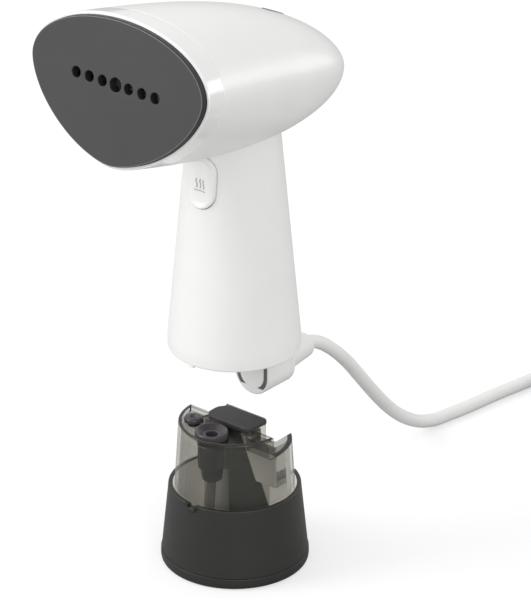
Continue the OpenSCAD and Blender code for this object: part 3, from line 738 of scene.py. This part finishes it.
def make_icon():
    """A plain steam mark on the trigger: three rising waves over a short bar."""
    data = bpy.data.curves.new("steam_mark", "CURVE")
    data.dimensions = "3D"
    data.bevel_depth = 0.28 * MM
    data.bevel_resolution = 2
    data.use_fill_caps = True
    wave_h, wave_w, wave_low_z, bar_z = 4.6, 0.45, icon_z - 1.6, icon_z - 2.9
    rise = [i / 12 for i in range(13)]
    waves = [
        [(x0 + wave_w * math.sin(t * 2 * math.pi), wave_low_z + wave_h * t) for t in rise]
        for x0 in (-2.2, 0, 2.2)
    ]
    bar = [(x, bar_z) for x in (-3.4, -1.7, 0, 1.7, 3.4)]
    for stroke in [*waves, bar]:
        spline = data.splines.new("POLY")
        spline.points.add(len(stroke) - 1)
        for point, (x, z) in zip(spline.points, stroke):
            point.co = (*(Vector(on_handle(x, z, trigger_face(x, dish_full) + 0.05)) * MM), 1)
    curve = link("steam_mark", data)
    mesh = bpy.data.meshes.new_from_object(curve.evaluated_get(bpy.context.evaluated_depsgraph_get()))
    bpy.data.objects.remove(curve)
    fit(link("steam_mark", mesh), "trigger", "lens", finish=MARK)


# ---- Docking tongue ----


def tongue_outline(inset, top=None):
    """The tongue's U, from its round foot up to the bulkhead."""
    r = tongue_w / 2 - inset
    foot = arc((0, tongue_low_z + tongue_w / 2), r, 180, 360, 40)
    top = bulkhead_z if top is None else top
    return [*foot, (r, top), (-r, top)]


def slit_outline(side, grow=0.0):
    """A slit beside the tongue's edge, from behind the handle's lip round into the foot."""
    centre = (0, tongue_low_z + tongue_w / 2)
    near_edge, far_edge = 1.4, 3.2
    outer, inner = tongue_w / 2 - near_edge + grow, tongue_w / 2 - far_edge - grow
    top, low_z = tongue_low_z + 32, tongue_low_z + 4.5 - grow
    down = lambda r: math.degrees(math.asin(max(-1, (low_z - centre[1]) / r)))
    curve_out = arc(centre, outer, down(outer), 0, 10)
    curve_in = arc(centre, inner, 0, down(inner), 10)
    points = [*curve_out, (outer, top), (inner, top), *curve_in]
    return [(side * x, z) for x, z in points]


def make_tongue():
    """The tongue that slides into the tank's rear channel, its two slits and its rear cover."""
    cover_y = tongue_rear_y - tongue_cover_t
    tongue = slab("docking_tongue", tongue_outline, tongue_front_y, cover_y - seam_gap, 0.8)
    bore = handle_r - handle_wall - 0.1
    outside, above = 60, 170
    sleeve = [
        (bore, handle_z), (outside, handle_z), (outside, above),
        (bore - handle_taper * 35, above), (bore, handle_z + band_h),
    ]
    combine(tongue, lathe("sleeve", sleeve))
    for side in (-1, 1):
        recess_at = lambda inset: slit_outline(side, 0.25)
        combine(tongue, slab("recess", recess_at, tongue_front_y - 2, tongue_front_y + 1.6))
        insert = slab(f"slit_insert_{'left' if side < 0 else 'right'}", lambda inset: slit_outline(side, 0.2),
                      tongue_front_y + 0.2, tongue_front_y + 1.9)
        replaced = ["tongue_slit_inserts"] if side > 0 else []
        fit(insert, "handset", "black_plastic", *replaced, finish=SLIT)
    fit(tongue, "handset", "white_satin", "dock_tongue", bevel=0.2, sharp=40)
    top = low("handle_sleeve").z - 0.3
    cover = slab("tongue_back", lambda inset: tongue_outline(inset, top - inset), cover_y, tongue_rear_y, 0.9)
    hole_r, hole_reach = 5.4, 5
    hole = [(0, -hole_reach), (hole_r, -hole_reach), (hole_r, hole_reach), (0, hole_reach)]
    combine(cover, lathe("hole", hole, place=Matrix.Translation((0, cover_y, boot_z)) @ TO_BACK))
    fit(cover, "handset", "white_satin", "tongue_rear_cover")


def make_boot():
    """The strain relief where the lead leaves the tongue."""
    length = boot_end_y - tongue_rear_y
    bore = cord_d / 2 + 0.05
    profile = rounded([
        (bore, -4), (5.2, -4), (5.2, 0.05), (8.4, 0.05, 0.3), (6.4, length, 1.8), (bore, length, 0.3),
    ])
    place = Matrix.Translation((0, tongue_rear_y, boot_z)) @ TO_BACK
    boot = lathe("strain_relief", profile, place=place, steps=96)
    fit(boot, "handset", "cord_white", "cord_boot")


# ---- Tank ----


def vessel_r(z):
    """The vessel's outer radius at a height."""
    return vessel_top_r + vessel_slope * (vessel_h - z)


def cone(name, bottom, top, inset=0.0, edge=0.0):
    """A part of the vessel's cone, moved inwards by inset, with a rounded upper edge."""
    profile = [(0, bottom), (vessel_r(bottom) - inset, bottom), (vessel_r(top) - inset, top), (0, top)]
    if edge:
        profile[2] = (*profile[2], edge)
    return lathe(name, rounded(profile))


def make_tank_foot():
    """The flat foot with its low band."""
    profile = rounded([
        (0, 0), (foot_r - 0.4, 0, 2.2), (foot_r, 3, 3), (foot_r - 0.1, foot_band_h, 0.35),
        (foot_r - skirt_wall - 1, foot_band_h), (foot_r - skirt_wall - 1, floor_t), (0, floor_t),
    ])
    fit(lathe("tank_foot", profile), "tank", "smoke_dark", "tank_base")


def make_skirt():
    """The dark conical skirt, with a tab at the front and notches for the lug and the tongue."""
    profile = rounded([
        (foot_r - skirt_wall, foot_band_h + 0.05), (foot_r - 0.45, foot_band_h + 0.05, 0.25),
        (skirt_rim_r, skirt_h, 0.5), (skirt_rim_r - skirt_wall, skirt_h, 0.4),
    ])
    skirt = lathe("tank_skirt_shell", profile)
    tab_profile = rounded([(0, 0), (3.4, 0), (3.4, 2.2, 0.6), (0, 2.2)])
    place = Matrix.Translation((0, 1 - skirt_rim_r, skirt_h - 0.6)) @ Matrix.Rotation(math.pi / 2, 4, "X")
    combine(skirt, lathe("tab", tab_profile, place=place, steps=64), operation="UNION")
    notch_w = lug_w / 2 + 0.4
    r = channel_half_w + 0.3
    sides = arc((0, channel_low_z + r), r, 180, 360, 40)
    # The tab ends flush with the rim, which has a notch for the handle's lug and one for the tongue.
    combine(
        skirt,
        box("above", (-10, -40, skirt_h), (10, -20, skirt_h + 10)),
        box("lug_notch", (-notch_w, -40, skirt_h - lug_h - 0.3), (notch_w, -20, skirt_h + 5), 0.3),
        slab("rear_notch", lambda inset: [*sides, (17, 60), (-17, 60)], 20, 50),
    )
    fit(skirt, "tank", "smoke_dark", "tank_skirt", bevel=0.25, sharp=50)
    # The skirt's lower inner faces get the pale, glowing painted light.
    skirt.data.materials.append(SKIRT_INNER_GLOW)
    for face in skirt.data.polygons:
        if face.normal.dot(face.center) < 0 and abs(face.normal.z) < 0.5 and face.center.z < 35 * MM:
            face.material_index = 1


def rear_slots(grow):
    """The channel for the docking tongue, and the wide slot above it."""
    r = channel_half_w + grow
    foot = arc((0, channel_low_z + channel_half_w), r, 180, 360, 48)
    channel = slab("channel", lambda inset: [*foot, (r, 90), (-r, 90)], channel_y - grow, 50)
    half = slot_half_w + grow
    slot = box("slot", (-half, slot_y - grow, slot_low_z - grow), (half, 50, 95), 1.2)
    return channel, slot


def wings(grow):
    """What is cut away above the two low shoulders beside the middle block."""
    inner = block_half_w - grow
    right_y, left_y = (front - grow for front in wing_fronts)
    return (
        box("right_shoulder", (inner, right_y, wing_z - grow), (60, 60, 95), 1.0),
        box("left_shoulder", (-60, left_y, wing_z - grow), (-inner, 60, 95), 1.0),
    )


def make_vessel():
    """The clear vessel: rear channel, two low shoulders, a sunk deck with holes and a wall behind the cap."""
    vessel = cone("clear_vessel", floor_t, vessel_h, edge=0.5)
    cavity = cone("cavity", floor_t - 1, deck_z - vessel_wall, vessel_wall, 1.0)
    combine(cavity, *rear_slots(vessel_wall), *wings(vessel_wall))
    above = 80
    low_r, high_r = (vessel_r(z) - vessel_wall for z in (deck_z, above))
    deck = lathe("deck", [(0, deck_z), (low_r, deck_z), (high_r, above), (0, above)])
    pad = box("pad", (-block_half_w, -8.6, deck_z - 1), (17.5, 30, 90), 1.5)
    combine(deck, pad, box("rear", (-50, -3, 60), (50, 60, 90)))
    holes = [
        lathe("hole", [(0, 60), (r, 60), (r, 90), (0, 90)], centre, steps=96)
        for centre, r in ((filler_xy, 7.3), (outlet_xy, 7.2), (vent_xy, 2.9))
    ]
    combine(vessel, *rear_slots(0), *wings(0), cavity, deck, *holes)
    back_low = (0.3 - block_half_w, slot_y - 1.6, vessel_h - 3)
    back_high = (block_half_w - 0.3, slot_y, vessel_h + 1.4)
    combine(vessel, box("back", back_low, back_high), operation="UNION")
    fit(vessel, "tank", "smoke_clear", "tank_vessel", bevel=0.28, sharp=40, edges=EDGE)
    vessel.data.materials.append(RIM)
    vessel.data.materials.append(PAINTED_BACKLIGHT_AND_SHADE)
    # The top faces get the smoked rim finish; the rear wall's inner faces and the flat floors get the painted
    # backlight and shade.
    top_faces, painted_backlight_faces = 2, 3
    for face in vessel.data.polygons:
        if face.normal.z > 0.6 and face.center.z > 60 * MM:
            face.material_index = top_faces
        elif face.normal.y < -0.3 and face.center.y > 5 * MM or face.normal.z > 0.9:
            face.material_index = painted_backlight_faces


def make_seals():
    """The funnel that the handle's inlet presses into, and the small vent valve."""
    outlet = rounded([
        (3.1, 0), (8.3, 0, 0.3), (8.6, 1.2, 1.5), (8.3, 4, 0.9),
        (7, 3.6, 0.8), (4.2, 1.6, 0.8), (3.1, 1.5, 0.2),
    ])
    seal = lathe("outlet_funnel", [(r, z + deck_z) for r, z in outlet], outlet_xy, steps=96)
    fit(seal, "tank", "seal_rubber", "outlet_seal", finish=SEAL)
    vent = rounded([
        (1, 0), (2.8, 0, 0.2), (2.8, 2.2), (5, 2.2, 0.3),
        (4.6, 4.6, 1.2), (1.9, 5, 0.6), (1, 3.6, 0.2),
    ])
    valve = lathe("vent_valve", [(r, z + deck_z - 2.2) for r, z in vent], vent_xy, steps=96)
    fit(valve, "tank", "seal_rubber", "vent_seal", finish=SEAL)


def make_filler_cap():
    """The rubber cap on the middle block: a flap with a pull tab, and its plug in the filler hole."""
    hinge_x, top = high("filler_cap").x, high("filler_cap").z
    under = vessel_h + 0.05
    front_y, rear_y, tab_x = -8, 7.2, -13.2
    outline = rounded([
        (-9.5, front_y, 1.5), (hinge_x, front_y, 1.2), (hinge_x, rear_y, 1.2), (-9.5, rear_y, 1.5),
        (tab_x, 2.2, 4), (tab_x, -5, 4),
    ])
    middle = Vector((1, 0))
    rings = []
    for inset, z in edge_steps(under, top, 0.6):
        rings.append([(*(Vector(p) - (Vector(p) - middle).normalized() * inset), z) for p in outline])
    flap = loft("filler_flap", rings)
    stem = [(0, 0.5), (0, -3.95), (4.8, -3.95), (6.1, -3.95, 0.5), (6.5, 0.1), (6.5, 0.5)]
    plug = lathe("stem", [(r, z + under) for r, z in rounded(stem)], filler_xy, steps=96)
    combine(flap, plug, operation="UNION")
    fit(flap, "filler_cap", "seal_rubber", "filler_cap", sharp=45)


def make_outlet():
    """The well under the funnel, and the tube that reaches down to the filter."""
    x, y = outlet_xy
    top = deck_z - 0.05
    housing = rounded([
        (3.1, top), (3.1, 55.9), (2.5, 55.9), (2.5, 51),
        (5, 51, 0.8), (5.7, 56.5), (7.1, 58.5, 0.6), (7.1, top),
    ])
    well = lathe("outlet_well", housing, outlet_xy, steps=96)
    fit(well, "tank", "smoke_clear", "outlet_housing", finish=WELL)
    tube_low, tube_high = low("suction_tube").z, high("suction_tube").z
    tube_r, sway = 2.45, 1.6
    steps = 24
    rings = []
    for i in range(steps + 1):
        t = i / steps
        z = tube_low + (tube_high - tube_low) * t
        middle_x = x - sway * math.sin(math.pi * t) ** 2
        rings.append([(middle_x + tube_r * math.cos(a), y + tube_r * math.sin(a), z) for a in angles(40)])
    fit(loft("pickup_tube", rings), "tank", "tube_grey", "suction_tube")


def make_plug():
    """The two-pin plug's body and its ribbed strain relief."""
    relief_low, relief_high = low("plug_relief"), high("plug_relief")
    body_low, body_high = low("plug_body"), high("plug_body")
    middle = (body_low + body_high) / 2
    half_w, half_h = (body_high.x - body_low.x) / 2, (body_high.z - body_low.z) / 2
    rings = []
    length = body_high.y - body_low.y
    corners = ((-1, -1), (1, -1), (1, 1), (-1, 1))
    stations = (
        (0, 0.86), (0.02, 0.93), (0.06, 0.985), (0.12, 1), (0.35, 0.97),
        (0.6, 0.86), (0.82, 0.66), (0.94, 0.5), (0.98, 0.44), (1, 0.38),
    )
    for t, scale in stations:
        y = body_low.y + length * t
        w, h, corner_r = half_w * scale, half_h * scale, 5.5 * scale
        outline = rounded([(sx * w, sz * h, corner_r) for sx, sz in corners], 8)
        rings.append([(middle.x + px, y, middle.z + pz) for px, pz in outline])
    fit(loft("plug_housing", rings), "handset", "cord_white", "plug_body")
    reach = relief_high.y - relief_low.y
    ribs = []
    count = 5
    for i in range(count):
        start = reach * (0.12 + 0.17 * i)
        r = 4.7 + 1.7 * (1 - start / reach)
        ribs += [(r, start), (r, start + 1.9), (r - 1, start + 2.3), (r - 1.1, start + 3.3)]
    profile = [(cord_d / 2 + 0.05, 0), (6.4, 0), *ribs, (4.6, reach), (cord_d / 2 + 0.05, reach)]
    place = Matrix.Translation((middle.x, relief_low.y, middle.z)) @ TO_BACK
    relief = lathe("plug_strain_relief", rounded(profile), place=place, steps=64)
    fit(relief, "handset", "cord_white", "plug_relief")


make_steam_plate()
make_collar()
make_head()
make_lens()
make_handle()
make_trigger()
make_icon()
make_tongue()
make_boot()
make_tank_foot()
make_skirt()
make_vessel()
make_seals()
make_filler_cap()
make_outlet()
make_plug()

# ---- Cord ----

lead_route = [
    (0, 31, 98.5), (0, 40, 98.5), (0, 48, 98.5),
    (0, 55.5, 98.5), (0, 61, 97.5), (0, 67, 94.5), (0, 74, 89.5), (0, 82, 82.5), (-0.5, 91, 73.5),
    (-1.5, 100, 63.5), (-3, 110, 52.5), (-5, 121, 41), (-7.5, 132, 30.5), (-9.5, 143, 21),
    (-10.5, 154, 13), (-10.5, 165, 7), (-9.5, 176, 4), (-8, 187, 3.5), (-6, 198, 3.5),
    (-4.5, 210, 3.5), (-3, 222, 3.5), (-1, 234, 3.5), (1, 246, 3.5), (3, 258, 3.5),
    (4, 269, 3.5),
]
tail_route = [
    (63, 329, 9), (73, 328.5, 6), (83, 327, 4), (92, 323, 3.5), (100, 317, 3.5), (106.5, 308.5, 3.5),
    (110.5, 298.5, 4.5), (112, 288, 7), (112, 278, 9.5), (112, 270, 10.8), (112, 262, 11), (112, 255, 11),
]
coil_centre = (53.5, 280)
coil_turns = 5.25
turn_steps = 36
layer_z = (3.5, 10.5)
outer_turn_r = 49
turn_pitch = 7


def coil_point(turn):
    """A point of the wound coil, turn turns after it starts: in along the bottom, then out along the top."""
    inwards = ease(turn, 0.62, 0.97) + ease(turn, 1.62, 1.97)
    outwards = ease(turn, 2.95, 3.3) + ease(turn, 3.95, 4.3)
    radius = outer_turn_r - turn_pitch * (inwards - outwards)
    climb = ease(turn, 2.3, 2.62)
    angle = math.pi * (1 - 2 * turn)
    return (
        coil_centre[0] + radius * math.cos(angle),
        coil_centre[1] + radius * math.sin(angle),
        layer_z[0] + (layer_z[1] - layer_z[0]) * climb,
    )


def through(points, steps=6):
    """Points on one smooth curve through the given ones."""
    points = [Vector(p) for p in points]
    padded = [2 * points[0] - points[1], *points, 2 * points[-1] - points[-2]]
    smooth = []
    for before, start, end, after in zip(padded, padded[1:], padded[2:], padded[3:]):
        for i in range(steps):
            t = i / steps
            smooth.append(
                0.5 * (2 * start + (end - before) * t + (2 * before - 5 * start + 4 * end - after) * t * t
                       + (3 * start - before - 3 * end + after) * t ** 3)
            )
    return [*smooth, points[-1]]


def make_cord():
    """The mains lead from the boot to the plug, one tube on one curve."""
    coil = [coil_point(i / turn_steps) for i in range(round(coil_turns * turn_steps) + 1)]
    line = through([*lead_route, *coil, *tail_route])
    data = bpy.data.curves.new("mains_cord", "CURVE")
    data.dimensions = "3D"
    data.bevel_depth = cord_d / 2 * MM
    data.bevel_resolution = 6
    data.use_fill_caps = True
    spline = data.splines.new("POLY")
    spline.points.add(len(line) - 1)
    for point, place in zip(spline.points, line):
        point.co = (*(place * MM), 1)
    cord = bpy.data.objects.new("mains_cord", data)
    scene.collection.objects.link(cord)
    data.materials.append(MATERIALS["cord_white"])
    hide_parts("cord_lead", "cord_coil", "cord_tail")
    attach(cord, "handset")


make_cord()

# ---- Light ----


def area_light(name, location, aim, size, power):
    """A rectangular light that faces aim."""
    data = bpy.data.lights.new(name, "AREA")
    data.shape = "RECTANGLE"
    data.size, data.size_y = size
    data.energy = power
    light = bpy.data.objects.new(name, data)
    scene.collection.objects.link(light)
    light.location = location
    light.rotation_mode = "QUATERNION"
    light.rotation_quaternion = (Vector(aim) - light.location).to_track_quat("-Z", "Y")


def make_floor():
    """A pale floor that the camera sees a little brighter than the light it throws back."""
    half = 8
    mesh = bpy.data.meshes.new("floor")
    corners = [(-half, -half, 0), (half, -half, 0), (half, half, 0), (-half, half, 0)]
    mesh.from_pydata(corners, [], [(0, 1, 2, 3)])
    shader = Shader("floor", 0.95, Specular_IOR_Level=0.1)
    shader.colour(shader.noise(300, 2), (0.3, (0.43, 0.43, 0.43)), (0.7, (0.45, 0.45, 0.45)))
    glow = shader.node("ShaderNodeEmission", {"Strength": 0.55})
    seen = shader.node("ShaderNodeAddShader")
    path = shader.node("ShaderNodeLightPath")
    shown = shader.node("ShaderNodeMixShader", {"Fac": path.outputs["Is Camera Ray"]})
    links = shader.tree.links
    links.new(shader.bsdf.outputs["BSDF"], seen.inputs[0])
    links.new(glow.outputs["Emission"], seen.inputs[1])
    links.new(shader.bsdf.outputs["BSDF"], shown.inputs[1])
    links.new(seen.outputs["Shader"], shown.inputs[2])
    links.new(shown.outputs["Shader"], shader.tree.nodes["Material Output"].inputs["Surface"])
    mesh.materials.append(shader.material)
    link("floor", mesh)


def make_stage():
    """Floor, background and soft studio lights."""
    world = bpy.data.worlds.new("world")
    world.use_nodes = True
    background = world.node_tree.nodes["Background"]
    background.inputs["Color"].default_value = (1, 1, 1, 1)
    background.inputs["Strength"].default_value = 0.82
    scene.world = world
    scene.view_settings.view_transform = "Standard"
    make_floor()
    # In the photograph's view, key and low light the left side, fill lights the right side, and band
    # draws the bright line along the head.
    area_light("key", (-1.35, -1.45, 1.6), (0, 0, 0.2), (1.1, 1.1), 25)
    area_light("low", (-1.3, -1.2, 0.4), (0, 0, 0.1), (0.8, 0.5), 3.5)
    area_light("fill", (1.9, -1.3, 1.2), (0, 0, 0.2), (0.8, 0.8), 15)
    area_light("band", (1.0, 2.85, 0.45), (0, 0, 0.28), (1.8, 0.8), 9)


make_stage()
